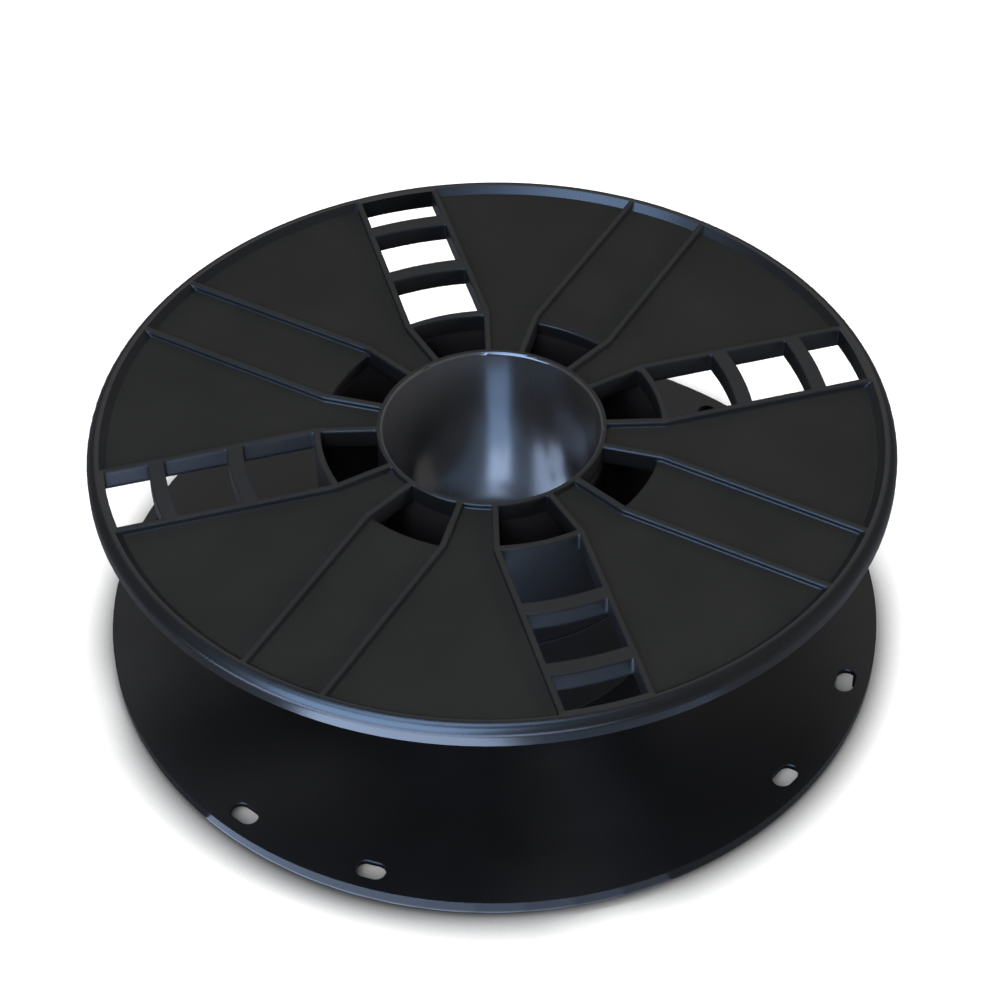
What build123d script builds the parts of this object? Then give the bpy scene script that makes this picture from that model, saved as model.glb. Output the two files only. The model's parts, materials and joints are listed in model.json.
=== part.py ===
from build123d import *
import os
from math import cos, radians, sin, tan

# Black plastic cable spool, moulded as two halves whose drum walls lap at mid-width.
# It lies on its lower flange: the axis is +Z, and the origin is the centre of the face it lies on.
# Ladder spokes lie along X and Y and plain spokes along the diagonals.
# Lengths are in millimetres and angles in degrees.

# Overall sizes
FLANGE_DIAMETER = 200.0
SPOOL_WIDTH = 67.5

# Flange section: the crest of the rim is its outer face, the winding face its inner one
FLANGE_DEPTH = 5.3
LOWER_PANEL = 1.4
UPPER_PANEL = 3.6
RIM_WIDTH = 4.2
RIM_OUTER_ROUND = 2.8

# Inner side of the upper rim, which slopes from its foot on the panel up to its crest
UPPER_FOOT_WIDTH = 4.9
UPPER_CREST_WIDTH = 3.2

# Bore tube and winding drum
BORE_DIAMETER = 54.0
TUBE_WALL = 1.5
BORE_MOUTH_ROUND = 0.9
DRUM_DIAMETER = 87.8
DRUM_WALL = 1.6

# Lap joint between the drum walls of the two halves
LAP_HEIGHT = 4.0
LAP_CLEARANCE = 0.15

# Spokes: each is a pair of ribs, parallel over the panel and radial between drum and tube
LADDER_COUNT = 4
SPOKE_WIDTH = 21.0
RIB_THICKNESS = 1.5
RIB_TURN = 14.0

# Ladder windows, from the drum out to the rim, share what their bars leave in these parts
WINDOW_PARTS = (17.7, 15.6, 10.9)
LADDER_BAR = 3.9

# Cable slots of the lower flange, two beside each plain spoke
SLOT_LENGTH = 7.7
SLOT_WIDTH = 5.0
SLOT_INSET = 5.7
SLOT_TURN = 11.0

# Radii and heights that follow from the sizes above, in a half that lies on its crest
FLANGE_R = FLANGE_DIAMETER / 2
RIM_WALL_R = FLANGE_R - RIM_WIDTH
UPPER_FOOT_R = FLANGE_R - UPPER_FOOT_WIDTH
UPPER_CREST_R = FLANGE_R - UPPER_CREST_WIDTH
RIB_END_R = (UPPER_CREST_R + FLANGE_R - RIM_OUTER_ROUND) / 2
BORE_R = BORE_DIAMETER / 2
TUBE_R = BORE_R + TUBE_WALL
DRUM_R = DRUM_DIAMETER / 2
DRUM_INNER_R = DRUM_R - DRUM_WALL
LAP_R = DRUM_R - DRUM_WALL / 2
MID_Z = SPOOL_WIDTH / 2
SPOKE_COUNT = 2 * LADDER_COUNT
SPOKE_PITCH = 360 / SPOKE_COUNT


def spigot_end() -> list[tuple[float, float]]:
    """Radius and height of the corners of a drum wall that ends in a spigot, from outside in."""
    spigot_r = LAP_R - LAP_CLEARANCE
    spigot_z = MID_Z + LAP_HEIGHT
    return [(DRUM_R, MID_Z), (spigot_r, MID_Z), (spigot_r, spigot_z), (DRUM_INNER_R, spigot_z)]


def socket_end() -> list[tuple[float, float]]:
    """Radius and height of the corners of a drum wall that ends in a socket, from outside in."""
    socket_z = MID_Z - LAP_HEIGHT - LAP_CLEARANCE
    return [(DRUM_R, MID_Z), (LAP_R, MID_Z), (LAP_R, socket_z), (DRUM_INNER_R, socket_z)]


def turned_half(
    panel: float,
    rim_side: tuple[float, float],
    drum_end: list[tuple[float, float]],
    rounds: dict[float, float],
) -> Part:
    """Tube, panel, rim and drum of one half as a turned solid, before its spokes.

    The rim's inner side goes from the radius of its foot to that of its crest. The rounds are
    those of the corners on the outer side, by the radius of the corner.
    """
    foot_r, crest_r = rim_side
    panel_z = FLANGE_DEPTH - panel
    tube_and_panel = [(BORE_R, 0), (TUBE_R, 0), (TUBE_R, panel_z), (foot_r, panel_z)]
    rim_corners = [(crest_r, 0), (FLANGE_R, 0), (FLANGE_R, FLANGE_DEPTH)]
    winding_side = [(DRUM_R, FLANGE_DEPTH), *drum_end, (DRUM_INNER_R, FLANGE_DEPTH)]
    tube_inside = [(TUBE_R, FLANGE_DEPTH), (TUBE_R, MID_Z), (BORE_R, MID_Z)]
    section = Polygon(*tube_and_panel, *rim_corners, *winding_side, *tube_inside, align=None)
    for corner_r, round_r in rounds.items():
        corner = section.vertices().sort_by_distance((corner_r, 0, 0))[0]
        section = fillet(corner, round_r)
    return revolve(Plane.XZ * section, Axis.Z)


def ring(inner: float, outer: float) -> Sketch:
    """Flat ring between two radii."""
    return Circle(outer) - Circle(inner)


def spoke_field(offset: float) -> Sketch:
    """Field of the spoke along +X out to its ribs' mid-lines, or past them by an offset."""
    slant = radians(RIB_TURN)
    half_width = SPOKE_WIDTH / 2 + offset
    tip = -offset / sin(slant)
    bend = (half_width - offset / cos(slant)) / tan(slant)
    right_side = [(bend, -half_width), (FLANGE_R, -half_width)]
    left_side = [(FLANGE_R, half_width), (bend, half_width)]
    return Polygon((tip, 0), *right_side, *left_side, align=None)


def around_axis(shape: Sketch, count: int, start: float) -> Sketch:
    """Copies of a flat shape turned evenly about the axis."""
    return Sketch() + [place * shape for place in PolarLocations(0, count, start)]


def rib_pairs() -> Sketch:
    """Ribs of all spokes, running from the tube wall into the crest of the rim."""
    pair = spoke_field(RIB_THICKNESS / 2) - spoke_field(-RIB_THICKNESS / 2)
    reach = ring(BORE_R + TUBE_WALL / 2, RIB_END_R)
    return around_axis(pair & reach, SPOKE_COUNT, 0)


def hub_holes() -> Sketch:
    """Holes between tube and drum, one inside each spoke."""
    hole = spoke_field(-RIB_THICKNESS / 2) & ring(TUBE_R, DRUM_INNER_R)
    return around_axis(hole, SPOKE_COUNT, 0)


def ladder_bands() -> Sketch:
    """Raised bands that carry the bars of the ladder spokes."""
    band = spoke_field(0) & ring(DRUM_INNER_R, RIB_END_R)
    return around_axis(band, LADDER_COUNT, 0)


def ladder_windows() -> Sketch:
    """Windows of the ladder spokes, with edges concentric with the rim."""
    bars = LADDER_BAR * (len(WINDOW_PARTS) - 1)
    clear_span = RIM_WALL_R - DRUM_R - bars
    field = spoke_field(-RIB_THICKNESS / 2)
    windows = []
    inner = DRUM_R
    for part in WINDOW_PARTS:
        outer = inner + clear_span * part / sum(WINDOW_PARTS)
        windows.append(field & ring(inner, outer))
        inner = outer + LADDER_BAR
    return around_axis(Sketch() + windows, LADDER_COUNT, 0)


def cable_slots() -> Sketch:
    """Slots inside the rim, along its curve, to either side of each plain spoke."""
    slot = Pos(FLANGE_R - SLOT_INSET, 0) * SlotOverall(SLOT_LENGTH, SLOT_WIDTH, rotation=90)
    first = around_axis(slot, LADDER_COUNT, SPOKE_PITCH - SLOT_TURN)
    second = around_axis(slot, LADDER_COUNT, SPOKE_PITCH + SLOT_TURN)
    return first + second


def lower_half() -> Part:
    """Half with plain spokes all round and cable slots, lying on its crest."""
    rounds = {FLANGE_R: RIM_OUTER_ROUND}
    half = turned_half(LOWER_PANEL, (RIM_WALL_R, RIM_WALL_R), spigot_end(), rounds)
    half = half + extrude(rib_pairs(), FLANGE_DEPTH)
    return half - extrude(hub_holes() + cable_slots(), FLANGE_DEPTH)


def upper_half() -> Part:
    """Half with ladder windows in every other spoke, turned over onto the lower half."""
    rounds = {FLANGE_R: RIM_OUTER_ROUND, BORE_R: BORE_MOUTH_ROUND}
    half = turned_half(UPPER_PANEL, (UPPER_FOOT_R, UPPER_CREST_R), socket_end(), rounds)
    half = half + extrude(rib_pairs() + ladder_bands(), FLANGE_DEPTH)
    half = half - extrude(hub_holes() + ladder_windows(), FLANGE_DEPTH)
    return mirror(half, about=Plane.XY.offset(MID_Z))


os.makedirs("parts", exist_ok=True)
for name, half in {"lower_half": lower_half(), "upper_half": upper_half()}.items():
    half.label = name
    export_step(half, f"parts/{name}.step")
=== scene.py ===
"""Looks of a black moulded cable spool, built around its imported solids.

The spool lies on its lower flange with its axis along +Z. Lengths are in metres and angles in
degrees. Azimuths are given as the camera sees them, with the camera at 270, and each class
that uses them turns them into the frame of the solids.
"""

import json
import logging
import math
from dataclasses import dataclass, field
from enum import Enum
from typing import Any

import bmesh
import bpy
from mathutils import Matrix, Vector

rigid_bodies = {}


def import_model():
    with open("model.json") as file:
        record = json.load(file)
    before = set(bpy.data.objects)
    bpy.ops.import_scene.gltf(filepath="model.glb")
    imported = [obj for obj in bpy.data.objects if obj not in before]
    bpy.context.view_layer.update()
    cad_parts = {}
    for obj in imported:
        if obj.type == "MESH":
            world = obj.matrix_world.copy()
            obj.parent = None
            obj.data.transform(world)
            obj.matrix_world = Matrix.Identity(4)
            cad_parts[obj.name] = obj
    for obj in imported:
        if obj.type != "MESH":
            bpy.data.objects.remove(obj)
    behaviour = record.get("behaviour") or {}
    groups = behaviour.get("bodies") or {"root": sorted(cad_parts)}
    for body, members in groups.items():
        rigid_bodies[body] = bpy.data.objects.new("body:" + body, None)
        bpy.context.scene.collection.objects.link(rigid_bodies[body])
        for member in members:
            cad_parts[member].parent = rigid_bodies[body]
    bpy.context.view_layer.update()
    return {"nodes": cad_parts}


log = logging.getLogger("spool")

MM = 0.001
SPOOL_WIDTH = 67.5 * MM

# Azimuth of the camera, and the turn from its view to the frame of the solids
CAMERA_AZIMUTH = 270.0
VIEW_TURN = 15.26

Colour = tuple[float, float, float]

WHITE: Colour = (1.0, 1.0, 1.0)
WARM: Colour = (1.0, 0.95, 0.88)
COOL: Colour = (0.38, 0.60, 1.0)
PALE_BLUE: Colour = (0.52, 0.68, 1.0)


def around(azimuth: float) -> Vector:
    """Level unit vector towards an azimuth as the camera sees it."""
    angle = math.radians(azimuth - VIEW_TURN)
    return Vector((math.cos(angle), math.sin(angle), 0.0))


def rgba(colour: Colour) -> tuple[float, float, float, float]:
    """Colour with full alpha, as a socket takes it."""
    return (*colour, 1.0)


class Zone(Enum):
    """Surfaces of a half that the mould finishes in different ways; the bore, cavity and winding
    zones also carry painted light or shade in their colours.
    """

    GRAINED = 0
    SATIN = 1
    RIM = 2
    BORE = 3
    WINDING = 4
    RIDGE = 5
    CAVITY = 6


class Signal:
    """A shader socket that takes part in Python expressions."""

    def __init__(self, shop: "NodeShop", socket: bpy.types.NodeSocket) -> None:
        """Wraps a socket of a node tree.

        Args:
            shop: the maker of nodes in that tree.
            socket: the output socket that gives the value.
        """
        self.shop = shop
        self.socket = socket

    def _math(self, operation: str, first: Any, second: Any) -> "Signal":
        """Adds a Math node for one operation on two values."""
        return self.shop.node("ShaderNodeMath", {"operation": operation}, {0: first, 1: second})

    def __add__(self, other: Any) -> "Signal":
        """Sum."""
        return self._math("ADD", self, other)

    def __radd__(self, other: Any) -> "Signal":
        """Sum, from the right."""
        return self._math("ADD", other, self)

    def __sub__(self, other: Any) -> "Signal":
        """Difference."""
        return self._math("SUBTRACT", self, other)

    def __rsub__(self, other: Any) -> "Signal":
        """Difference, from the right."""
        return self._math("SUBTRACT", other, self)

    def __mul__(self, other: Any) -> "Signal":
        """Product."""
        return self._math("MULTIPLY", self, other)

    def __rmul__(self, other: Any) -> "Signal":
        """Product, from the right."""
        return self._math("MULTIPLY", other, self)

    def over(self, limit: Any) -> "Signal":
        """1 where the value is over a limit, and 0 elsewhere."""
        return self._math("GREATER_THAN", self, limit)


class NodeShop:
    """Makes the nodes of one material or world."""

    def __init__(self, owner: bpy.types.Material | bpy.types.World) -> None:
        """Starts from an empty node tree.

        Args:
            owner: the material or world whose tree is filled.
        """
        owner.use_nodes = True
        self.tree = owner.node_tree
        self.tree.nodes.clear()

    def node(
        self,
        kind: str,
        settings: dict[str, Any] | None = None,
        inputs: dict[int | str, Any] | None = None,
        output: int | str = 0,
    ) -> Signal:
        """Makes a node, sets it up and links it.

        Args:
            kind: Blender's type name of the node.
            settings: properties of the node, set before its sockets.
            inputs: a value or a signal for each input socket, by index or name.
            output: the output socket that the signal stands for.

        Returns:
            The signal of that output, or of no socket on a node without outputs.
        """
        made = self.tree.nodes.new(kind)
        for name, value in (settings or {}).items():
            if name == "stops":
                self._set_stops(made, value)
            else:
                setattr(made, name, value)
        for key, value in (inputs or {}).items():
            if isinstance(value, Signal):
                self.tree.links.new(value.socket, made.inputs[key])
            else:
                made.inputs[key].default_value = value
        return Signal(self, made.outputs[output] if made.outputs else None)

    def _set_stops(self, ramp: bpy.types.Node, stops: list[tuple[float, float]]) -> None:
        """Gives a ramp its grey stops.

        Args:
            ramp: a Color Ramp node.
            stops: place and grey value of each stop, in order.
        """
        elements = ramp.color_ramp.elements
        while len(elements) < len(stops):
            elements.new(1.0)
        for element, (place, grey) in zip(elements, stops):
            element.position = place
            element.color = (grey, grey, grey, 1.0)

    def light_path(self, output: str) -> Signal:
        """Share of rays of one kind, by the name of the Light Path output."""
        return self.node("ShaderNodeLightPath", output=output)

    def mix_colour(self, factor: Any, first: Any, second: Any) -> Signal:
        """Mixes two colours.

        Args:
            factor: share of the second colour.
            first: colour at factor 0.
            second: colour at factor 1.

        Returns:
            The mixed colour.
        """
        settings = {"data_type": "RGBA"}
        return self.node("ShaderNodeMix", settings, {0: factor, 6: first, 7: second}, output=2)


# Sizes of the slow changes over the plastic, and the octaves of noise in each change
CLOUD_SIZE = 18 * MM
WAVE_SIZE = 9 * MM
GRAIN_OCTAVES = 2.0
CLOUD_OCTAVES = 3.0
WAVE_OCTAVES = 1.0

# Cloud values between which the plastic goes from its own colour to the pale one
PALE_STOPS = [(0.35, 0.0), (0.75, 1.0)]

# Rays that find the edges to be rounded
EDGE_SAMPLES = 6


@dataclass(frozen=True)
class MouldedFinish:
    """Black moulded plastic with the surface that its part of the mould leaves.

    Attributes:
        name: name of the material.
        colour: colour of the plastic, which for some zones is lighter or darker as painted light
            or shade.
        pale: colour where handling and flow marks lighten it.
        roughness: middle value of the roughness.
        roughness_spread: how far the roughness wanders from place to place.
        grain_size: size of the spark-eroded grain.
        grain_depth: height of the grain.
        wave_depth: height of the slow unevenness that shrinkage leaves.
        specular: strength of the reflection, where 0.5 is that of ordinary plastic.
        edge_round: radius that the mould leaves along edges and in corners, or 0 for none.
    """

    name: str
    colour: Colour
    pale: Colour
    roughness: float
    roughness_spread: float
    grain_size: float
    grain_depth: float
    wave_depth: float
    specular: float = 0.5
    edge_round: float = 0.45 * MM

    def material(self) -> bpy.types.Material:
        """Makes the material with its nodes.

        Returns:
            The material of this finish.
        """
        made = bpy.data.materials.new(self.name)
        shop = NodeShop(made)
        place = shop.node("ShaderNodeTexCoord", output="Object")
        grain = self._noise(shop, place, self.grain_size, GRAIN_OCTAVES)
        cloud = self._noise(shop, place, CLOUD_SIZE, CLOUD_OCTAVES)
        wave = self._noise(shop, place, WAVE_SIZE, WAVE_OCTAVES)
        mottle = shop.node("ShaderNodeValToRGB", {"stops": PALE_STOPS}, {0: cloud})
        tone = shop.mix_colour(mottle, rgba(self.colour), rgba(self.pale))
        roughness = self.roughness + (cloud + grain - 1.0) * self.roughness_spread
        skin = {
            "Base Color": tone,
            "Roughness": roughness,
            "Normal": self._relief(shop, grain, wave),
            "Specular IOR Level": self.specular,
        }
        shader = shop.node("ShaderNodeBsdfPrincipled", None, skin)
        shop.node("ShaderNodeOutputMaterial", None, {"Surface": shader})
        return made

    def _noise(self, shop: NodeShop, place: Signal, size: float, octaves: float) -> Signal:
        """Adds a noise texture over the object.

        Args:
            shop: maker of the nodes.
            place: coordinates, in metres.
            size: size of a cell of the noise.
            octaves: octaves of finer noise.

        Returns:
            The noise value, from 0 to 1.
        """
        inputs = {"Vector": place, "Scale": 1.0 / size, "Detail": octaves, "Roughness": 0.5}
        return shop.node("ShaderNodeTexNoise", None, inputs)

    def _relief(self, shop: NodeShop, grain: Signal, wave: Signal) -> Signal:
        """Adds the relief of the skin, with rounded edges where the finish has them.

        Args:
            shop: maker of the nodes.
            grain: noise of the grain.
            wave: noise of the slow unevenness.

        Returns:
            The normal of the skin.
        """
        height = grain * self.grain_depth + wave * self.wave_depth
        relief = {"Strength": 1.0, "Distance": 1.0, "Height": height}
        if self.edge_round > 0.0:
            rounding = {"Radius": self.edge_round}
            relief["Normal"] = shop.node("ShaderNodeBevel", {"samples": EDGE_SAMPLES}, rounding)
        return shop.node("ShaderNodeBump", None, relief)


# Finish of each zone; the bore and cavity colours are lighter as painted light, and the winding
# colour darker as painted shade.
FINISHES_AND_PAINTED_LIGHT: dict[Zone, MouldedFinish] = {
    Zone.GRAINED: MouldedFinish(
        name="grained_plastic",
        colour=(0.0106, 0.0103, 0.0092),
        pale=(0.0131, 0.0127, 0.0114),
        roughness=0.66,
        roughness_spread=0.08,
        grain_size=0.45 * MM,
        grain_depth=0.010 * MM,
        wave_depth=0.012 * MM,
        specular=0.08,
        edge_round=0.8 * MM,
    ),
    Zone.RIDGE: MouldedFinish(
        name="ridge_plastic",
        colour=(0.0098, 0.0098, 0.0096),
        pale=(0.0120, 0.0120, 0.0118),
        roughness=0.46,
        roughness_spread=0.06,
        grain_size=0.40 * MM,
        grain_depth=0.004 * MM,
        wave_depth=0.006 * MM,
        specular=0.2,
        edge_round=0.8 * MM,
    ),
    Zone.SATIN: MouldedFinish(
        name="satin_plastic",
        colour=(0.0085, 0.0085, 0.0092),
        pale=(0.0105, 0.0105, 0.0113),
        roughness=0.36,
        roughness_spread=0.05,
        grain_size=0.30 * MM,
        grain_depth=0.002 * MM,
        wave_depth=0.006 * MM,
        specular=0.42,
        edge_round=1.3 * MM,
    ),
    Zone.RIM: MouldedFinish(
        name="rim_plastic",
        colour=(0.0052, 0.0053, 0.0058),
        pale=(0.0064, 0.0065, 0.0071),
        roughness=0.28,
        roughness_spread=0.03,
        grain_size=0.30 * MM,
        grain_depth=0.0003 * MM,
        wave_depth=0.002 * MM,
        edge_round=0.0,
    ),
    # Bore: a polished finish, with a colour about three times as light as the panels', which is
    # painted light on the walls inside the bore.
    Zone.BORE: MouldedFinish(
        name="bore_plastic_painted_light",
        colour=(0.0330, 0.0330, 0.0345),
        pale=(0.0365, 0.0365, 0.0380),
        roughness=0.17,
        roughness_spread=0.02,
        grain_size=0.30 * MM,
        grain_depth=0.001 * MM,
        wave_depth=0.002 * MM,
        specular=1.0,
        edge_round=0.0,
    ),
    # Winding faces between the flanges: the same plastic at about half the panels' colour, as
    # painted shade for the gap between them.
    Zone.WINDING: MouldedFinish(
        name="winding_plastic_painted_shade",
        colour=(0.0055, 0.0053, 0.0057),
        pale=(0.0068, 0.0066, 0.0070),
        roughness=0.34,
        roughness_spread=0.05,
        grain_size=0.35 * MM,
        grain_depth=0.003 * MM,
        wave_depth=0.008 * MM,
        specular=0.42,
    ),
    # Faces in the cavity inside the drum: a colour lighter than the panels', as painted light in
    # that shaded hollow.
    Zone.CAVITY: MouldedFinish(
        name="cavity_plastic_painted_light",
        colour=(0.0180, 0.0165, 0.0182),
        pale=(0.0205, 0.0190, 0.0207),
        roughness=0.60,
        roughness_spread=0.06,
        grain_size=0.35 * MM,
        grain_depth=0.003 * MM,
        wave_depth=0.010 * MM,
        specular=0.1,
    ),
}

# Share of a unit normal along the axis past which its face counts as level
LEVEL = 0.9

# Slack at each limit between zones, because flat facets lie off the true curves
TUBE_SLACK = 0.05 * MM
DRUM_SLACK = 0.5 * MM
WINDING_SLACK = 0.1 * MM
ROUND_SLACK = 0.01 * MM

# Depth below the crest within which a level face is the top of a rib or bar
RIDGE_DEPTH = 0.5 * MM


@dataclass
class SpoolHalf:
    """One moulded half of the spool, which keeps its solid and gets its finishes.

    Attributes:
        node: name of the solid.
        outward: +1 where the flange faces up and -1 where it faces down.
        crest_height: height of the crest of its rim.
        tube_radius: outer radius of the tube round the bore.
        drum_radius: radius of the winding drum.
        rim_foot_radius: radius at which the rim starts.
        flange_depth: distance from the crest to the winding face.
        rim_radius: outer radius of the rim.
        rim_round: radius of the round along its outer edge.
        body: object of the solid.
    """

    node: str
    outward: int
    crest_height: float
    tube_radius: float = 28.5 * MM
    drum_radius: float = 43.9 * MM
    rim_foot_radius: float = 95.1 * MM
    flange_depth: float = 5.3 * MM
    rim_radius: float = 100.0 * MM
    rim_round: float = 2.8 * MM
    body: bpy.types.Object = field(init=False)

    def build(self, nodes: dict[str, bpy.types.Object]) -> None:
        """Takes the solid of this half.

        Args:
            nodes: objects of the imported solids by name.
        """
        self.body = nodes[self.node]

    def dress(self, materials: dict[Zone, bpy.types.Material]) -> None:
        """Gives each face the finish of its zone.

        Args:
            materials: the material of each zone.
        """
        mesh = self.body.data
        mesh.materials.clear()
        for zone in Zone:
            mesh.materials.append(materials[zone])
        counts = {zone: 0 for zone in Zone}
        for face in mesh.polygons:
            zone = self.zone_of(face.center, face.normal)
            face.material_index = zone.value
            counts[zone] += 1
        self._smooth_rim(mesh)
        shares = ", ".join(f"{zone.name.lower()} {count}" for zone, count in counts.items())
        log.info("%s: faces by finish: %s", self.node, shares)

    def zone_of(self, centre: Vector, normal: Vector) -> Zone:
        """Finish of a face from its place and the way it faces.

        Args:
            centre: middle of the face.
            normal: unit normal of the face.

        Returns:
            The zone that the face belongs to.
        """
        radius = math.hypot(centre.x, centre.y)
        outwards = normal.z * self.outward
        depth = (self.crest_height - centre.z) * self.outward
        if radius < self.tube_radius - TUBE_SLACK and outwards < LEVEL:
            return Zone.BORE
        if radius < self.drum_radius - DRUM_SLACK and depth > self.flange_depth - WINDING_SLACK:
            return Zone.CAVITY
        if outwards < -LEVEL:
            return Zone.WINDING
        if radius > self.rim_foot_radius:
            return Zone.RIM
        if outwards < LEVEL:
            return Zone.SATIN
        return Zone.RIDGE if depth < RIDGE_DEPTH else Zone.GRAINED

    def _smooth_rim(self, mesh: bpy.types.Mesh) -> None:
        """Gives the faces outside the rim's crest the normals of its true round.

        Args:
            mesh: mesh of this half, with its finishes.
        """
        normals = [corner.vector.copy() for corner in mesh.corner_normals]
        inner_limit = self.rim_radius - self.rim_round - ROUND_SLACK
        for face in mesh.polygons:
            places = [mesh.vertices[index].co for index in face.vertices]
            on_round = all(math.hypot(place.x, place.y) > inner_limit for place in places)
            if on_round and face.material_index == Zone.RIM.value:
                for corner, place in zip(face.loop_indices, places):
                    normals[corner] = self._round_normal(place)
        mesh.normals_split_custom_set(normals)

    def _round_normal(self, place: Vector) -> Vector:
        """Normal of the rim's outer round, or of the wall beside the round.

        Args:
            place: a place on the round or the wall.

        Returns:
            The unit normal there.
        """
        radius = math.hypot(place.x, place.y)
        depth = (self.crest_height - place.z) * self.outward
        across = max(radius - self.rim_radius + self.rim_round, 0.0)
        rise = max(self.rim_round - depth, 0.0) * self.outward
        return Vector((place.x / radius * across, place.y / radius * across, rise)).normalized()


@dataclass(frozen=True)
class PhotoCamera:
    """Camera at the place that the photograph was taken from.

    Attributes:
        focal_px: focal length in pixels.
        frame_px: width of the frame in pixels.
        sensor_mm: width of the sensor in millimetres.
        distance: distance from the target.
        elevation: angle above the floor.
        target: point in the middle of the frame, across the view, along it and up.
        roll: turn about the line of sight.
        clip: nearest and farthest distance that it sees.
    """

    focal_px: float = 2709.4
    frame_px: float = 1000.0
    sensor_mm: float = 36.0
    distance: float = 687.84 * MM
    elevation: float = 44.03
    target: tuple[float, float, float] = (1.84 * MM, 0.0, 41.58 * MM)
    roll: float = -0.73
    clip: tuple[float, float] = (0.01, 50.0)

    def build(self) -> None:
        """Makes the camera and looks through it."""
        data = bpy.data.cameras.new("photo_camera")
        data.sensor_width = self.sensor_mm
        data.lens = self.focal_px * self.sensor_mm / self.frame_px
        data.clip_start, data.clip_end = self.clip
        camera = bpy.data.objects.new("photo_camera", data)
        bpy.context.scene.collection.objects.link(camera)
        aim = Vector(self.target)
        rise = math.radians(self.elevation)
        back = Vector((0.0, -math.cos(rise), math.sin(rise)))
        look = (-back).to_track_quat("-Z", "Y").to_matrix().to_4x4()
        placed = Matrix.Translation(aim + back * self.distance) @ look
        turned = Matrix.Rotation(math.radians(-VIEW_TURN), 4, "Z") @ placed
        camera.matrix_world = turned @ Matrix.Rotation(math.radians(self.roll), 4, "Z")
        bpy.context.scene.camera = camera


def area_lamp(
    name: str, size: tuple[float, float], watts: float, colour: Colour
) -> bpy.types.Object:
    """Makes a rectangular lamp that the camera doesn't see.

    Args:
        name: name of the lamp.
        size: its width and height.
        watts: its power.
        colour: colour of its light.

    Returns:
        The lamp, still at the origin.
    """
    data = bpy.data.lights.new(name, "AREA")
    data.shape = "RECTANGLE"
    data.size, data.size_y = size
    data.energy = watts
    data.color = colour
    lamp = bpy.data.objects.new(name, data)
    lamp.visible_camera = False
    bpy.context.scene.collection.objects.link(lamp)
    return lamp


class Effect(Enum):
    """What a lamp does to the spool."""

    LIGHT = "light"
    REFLECTION = "reflection"


@dataclass(frozen=True)
class SoftLamp:
    """A rectangular soft lamp that points at the spool.

    Attributes:
        name: name of the lamp.
        azimuth: direction of the lamp as the camera sees it.
        elevation: angle above the floor.
        distance: distance from the spool.
        width: width of the lamp.
        height: height of the lamp.
        watts: power.
        effect: whether it lights the spool or shows in its reflections.
        colour: colour of the light.
        aim_height: height of the point on the axis that it points at.
    """

    name: str
    azimuth: float
    elevation: float
    distance: float
    width: float
    height: float
    watts: float
    effect: Effect
    colour: Colour = WHITE
    aim_height: float = 40 * MM

    def build(self) -> None:
        """Makes the lamp in its place."""
        lamp = area_lamp(self.name, (self.width, self.height), self.watts, self.colour)
        rise = math.radians(self.elevation)
        side = around(self.azimuth) * math.cos(rise) + Vector((0.0, 0.0, math.sin(rise)))
        lamp.location = Vector((0.0, 0.0, self.aim_height)) + side * self.distance
        lamp.rotation_mode = "QUATERNION"
        lamp.rotation_quaternion = side.to_track_quat("Z", "Y")
        lamp.visible_diffuse = self.effect is Effect.LIGHT
        lamp.visible_glossy = self.effect is Effect.REFLECTION


# Each lamp's azimuth, elevation, distance, width, height and power, then what it does
LAMPS: tuple[SoftLamp, ...] = (
    SoftLamp("key_softbox", 255, 42, 1.30, 0.60, 0.70, 9.0, Effect.LIGHT),
    SoftLamp("top_softbox", 110, 88, 1.30, 0.36, 0.36, 15.0, Effect.LIGHT),
    SoftLamp("right_fill", 350, 16, 1.30, 0.60, 0.50, 17.0, Effect.LIGHT),
    SoftLamp("left_fill", 145, 16, 1.30, 0.60, 0.50, 8.0, Effect.LIGHT),
    SoftLamp("front_strip", 241, 27, 1.20, 1.05, 1.15, 40.0, Effect.REFLECTION, COOL),
    SoftLamp("high_strip", 225, 74, 1.20, 0.50, 0.70, 10.0, Effect.REFLECTION, COOL),
    SoftLamp("back_wall", 90, 40, 1.30, 1.60, 0.90, 2.2, Effect.REFLECTION),
)


@dataclass(frozen=True)
class TableCard:
    """A bright card, lying or standing on the table, that shows in the upright faces round it.

    Attributes:
        name: name of the card.
        middle: its middle, across the view and along it.
        width: size across the view.
        depth: size along the view, or upwards where the card stands.
        turn: turn of the card about the upright.
        glow: brightness, where 1 is white.
        colour: colour of the glow.
        tilt: 0 where it lies face up and 90 where it stands and faces away from the camera.
        lift: gap between the floor and the card.
    """

    name: str
    middle: tuple[float, float]
    width: float
    depth: float
    turn: float
    glow: float
    colour: Colour = PALE_BLUE
    tilt: float = 0.0
    lift: float = 1.0 * MM

    def build(self) -> None:
        """Puts the card just above the floor."""
        watts = self.glow * self.width * self.depth * math.pi
        card = area_lamp(self.name, (self.width, self.depth), watts, self.colour)
        spin = Matrix.Rotation(math.radians(-VIEW_TURN), 4, "Z")
        height = self.lift + math.sin(math.radians(self.tilt)) * self.depth / 2
        place = Matrix.Translation((*self.middle, height))
        face = Matrix.Rotation(math.radians(180.0 - self.tilt), 4, "X")
        card.matrix_world = spin @ place @ Matrix.Rotation(math.radians(self.turn), 4, "Z") @ face
        card.visible_diffuse = False


# Cards along the foot of the lower rim, which fade towards the last azimuth
FOOT_CARD_AZIMUTHS = range(228, 298, 7)
FOOT_CARD_RADIUS = 106 * MM
FOOT_CARD_WIDTH = 13.5 * MM
FOOT_CARD_DEPTH = 13 * MM
FOOT_GLOW = 1.9
FOOT_FADE_END = 300
FOOT_FADE_SPAN = 40


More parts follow.
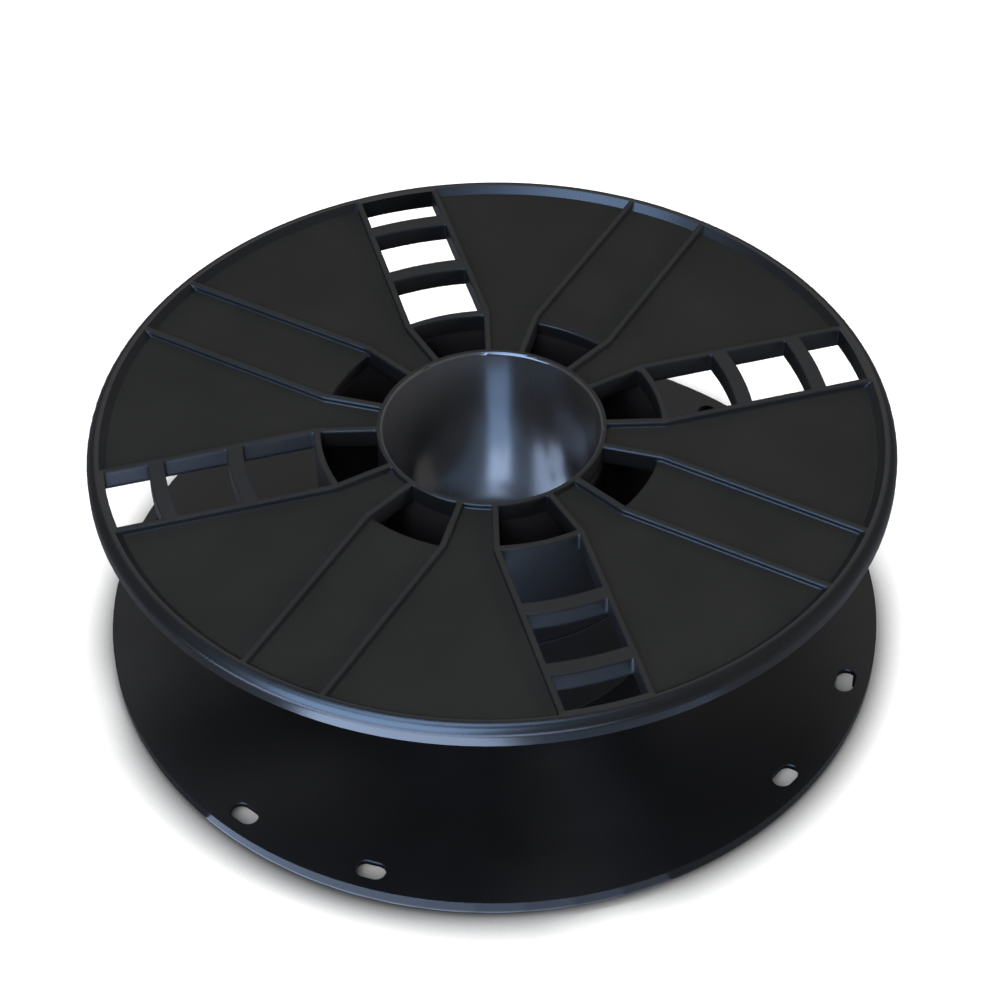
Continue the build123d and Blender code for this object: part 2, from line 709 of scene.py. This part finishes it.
def foot_card(azimuth: int) -> TableCard:
    """Card close to the lower rim, which shows in the wall of that rim and fades to the right.

    Args:
        azimuth: direction of the card as the camera sees it.

    Returns:
        The card, turned along the rim.
    """
    angle = math.radians(azimuth)
    middle = (FOOT_CARD_RADIUS * math.cos(angle), FOOT_CARD_RADIUS * math.sin(angle))
    return TableCard(
        name=f"foot_card_{azimuth}",
        middle=middle,
        width=FOOT_CARD_WIDTH,
        depth=FOOT_CARD_DEPTH,
        turn=azimuth - CAMERA_AZIMUTH,
        glow=FOOT_GLOW * min(1.0, (FOOT_FADE_END - azimuth) / FOOT_FADE_SPAN),
    )


# Each card's middle, width, depth, turn and glow, then its colour and tilt where they differ
CARDS: tuple[TableCard, ...] = (
    *(foot_card(azimuth) for azimuth in FOOT_CARD_AZIMUTHS),
    TableCard("front_card", (-49 * MM, -156 * MM), 104 * MM, 100 * MM, -23.0, 7.6),
    TableCard("far_card", (-205 * MM, -525 * MM), 460 * MM, 700 * MM, -23.0, 8.0),
    TableCard("near_card", (50 * MM, -118 * MM), 100 * MM, 40 * MM, 23.0, 0.85, COOL),
    TableCard("bore_tip_card", (-0.3 * MM, 7.5 * MM), 1.0 * MM, 6.0 * MM, 0.0, 7.6),
    TableCard("bore_card", (-0.3 * MM, -2.2 * MM), 2.4 * MM, 13.5 * MM, 0.0, 7.6),
    TableCard("bore_edge_card", (-4.2 * MM, -2.2 * MM), 2.4 * MM, 14.4 * MM, -20.8, 7.6),
    TableCard("bore_fill_card", (-2.3 * MM, -4.8 * MM), 2.2 * MM, 8.5 * MM, -10.4, 6.0),
    TableCard("bore_near_card", (-4.3 * MM, -16.0 * MM), 12 * MM, 14 * MM, -8.0, 3.5, COOL),
    TableCard("bore_wall_card", (-5 * MM, -22.5 * MM), 15.5 * MM, 18.5 * MM, 0.0, 2.4, COOL, 90.0),
    TableCard("bore_side_card", (-11.4 * MM, 7.4 * MM), 22 * MM, 5 * MM, 43.0, 3.8),
    TableCard("bore_back_card", (-8.0 * MM, 15.8 * MM), 10 * MM, 5 * MM, 2.0, 4.0),
    TableCard("bore_corner_card", (-18.6 * MM, 11.0 * MM), 11 * MM, 9.5 * MM, 8.0, 3.2),
    TableCard("bore_left_card", (14.0 * MM, 15.0 * MM), 14 * MM, 10 * MM, 0.0, 0.25, WARM),
    TableCard("bore_haze_card", (-3.0 * MM, -6.0 * MM), 26 * MM, 30 * MM, 0.0, 0.5, COOL),
)


@dataclass(frozen=True)
class Studio:
    """Pale floor with painted shade round the spool, soft lamps and a dim even surround.

    Attributes:
        floor_radius: radius of the floor.
        floor_sides: number of sides of its outline.
        floor_drop: gap between the spool and the floor, so that their faces don't coincide.
        floor_colour: colour of the floor as it lights the spool.
        floor_shown: grey value of the floor as the camera sees it.
        footprint: radius of the floor that the spool covers, outside which the painted shade
            starts.
        contact_reach: distance from the spool within which the floor's colour is darkened as
            painted shade.
        contact_samples: rays that find that shade.
        contact_shade: grey value of that painted shade where the spool hides most of the sky
            nearby.
        surround: brightness of the surround.
    """

    floor_radius: float = 1.0
    floor_sides: int = 96
    floor_drop: float = 0.05 * MM
    floor_colour: Colour = (0.11, 0.12, 0.14)
    floor_shown: float = 1.0
    footprint: float = 97.2 * MM
    contact_reach: float = 14 * MM
    contact_samples: int = 8
    contact_shade: float = 0.08
    surround: float = 0.12

    def build(self) -> None:
        """Makes the floor, the surround, the lamps and the cards."""
        bpy.context.scene.view_settings.view_transform = "Standard"
        self._floor()
        self._surround()
        for lamp in LAMPS:
            lamp.build()
            log.info("lamp %s", lamp.name)
        for card in CARDS:
            card.build()
            log.info("card %s", card.name)

    def _floor(self) -> None:
        """Makes a round floor just under the spool."""
        mesh = bpy.data.meshes.new("studio_floor")
        disc = bmesh.new()
        sides = self.floor_sides
        bmesh.ops.create_circle(disc, cap_ends=True, segments=sides, radius=self.floor_radius)
        disc.to_mesh(mesh)
        disc.free()
        mesh.materials.append(self._floor_material())
        floor = bpy.data.objects.new("studio_floor", mesh)
        floor.location.z = -self.floor_drop
        bpy.context.scene.collection.objects.link(floor)

    def _floor_material(self) -> bpy.types.Material:
        """Makes the paint of the floor, which shows white apart from a painted shade round the
        spool.

        Returns:
            The material of the floor.
        """
        material = bpy.data.materials.new("pale_floor")
        shop = NodeShop(material)
        seen = shop.light_path("Is Camera Ray")
        samples = {"samples": self.contact_samples}
        reach = {"Distance": self.contact_reach}
        # Ambient occlusion darkens the floor's colour as the camera sees it, just outside the
        # spool: painted shade.
        open_sky = shop.node("ShaderNodeAmbientOcclusion", samples, reach, output="AO")
        place = shop.node("ShaderNodeTexCoord", output="Object")
        length = {"operation": "LENGTH"}
        radius = shop.node("ShaderNodeVectorMath", length, {0: place}, output="Value")
        beside = radius.over(self.footprint)
        contact = 1.0 - beside * (1.0 - open_sky * open_sky)
        painted_shade_darkest = rgba((self.contact_shade,) * 3)
        shown_with_painted_shade = shop.mix_colour(contact, painted_shade_darkest, rgba((self.floor_shown,) * 3))
        paint = shop.mix_colour(seen, rgba(self.floor_colour), shown_with_painted_shade)
        shader = shop.node("ShaderNodeBsdfDiffuse", None, {"Color": paint})
        shop.node("ShaderNodeOutputMaterial", None, {"Surface": shader})
        return material

    def _surround(self) -> None:
        """Makes a dim surround that the camera sees as white."""
        world = bpy.data.worlds.new("studio_surround")
        bpy.context.scene.world = world
        shop = NodeShop(world)
        seen = shop.light_path("Is Camera Ray")
        strength = self.surround + seen * (1.0 - self.surround)
        light = {"Color": rgba(WHITE), "Strength": strength}
        shader = shop.node("ShaderNodeBackground", None, light)
        shop.node("ShaderNodeOutputWorld", None, {"Surface": shader})


def clear_scene() -> None:
    """Removes what a new file starts with."""
    for thing in list(bpy.data.objects):
        bpy.data.objects.remove(thing)


def main() -> None:
    """Builds the looks of the spool in order and reports each piece."""
    logging.basicConfig(level=logging.INFO, format="%(name)s: %(message)s")
    clear_scene()
    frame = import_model()
    PhotoCamera().build()
    Studio().build()
    materials = {zone: finish.material() for zone, finish in FINISHES_AND_PAINTED_LIGHT.items()}
    for half in (SpoolHalf("lower_half", -1, 0.0), SpoolHalf("upper_half", 1, SPOOL_WIDTH)):
        half.build(frame["nodes"])
        half.dress(materials)


if __name__ == "__main__":
    main()
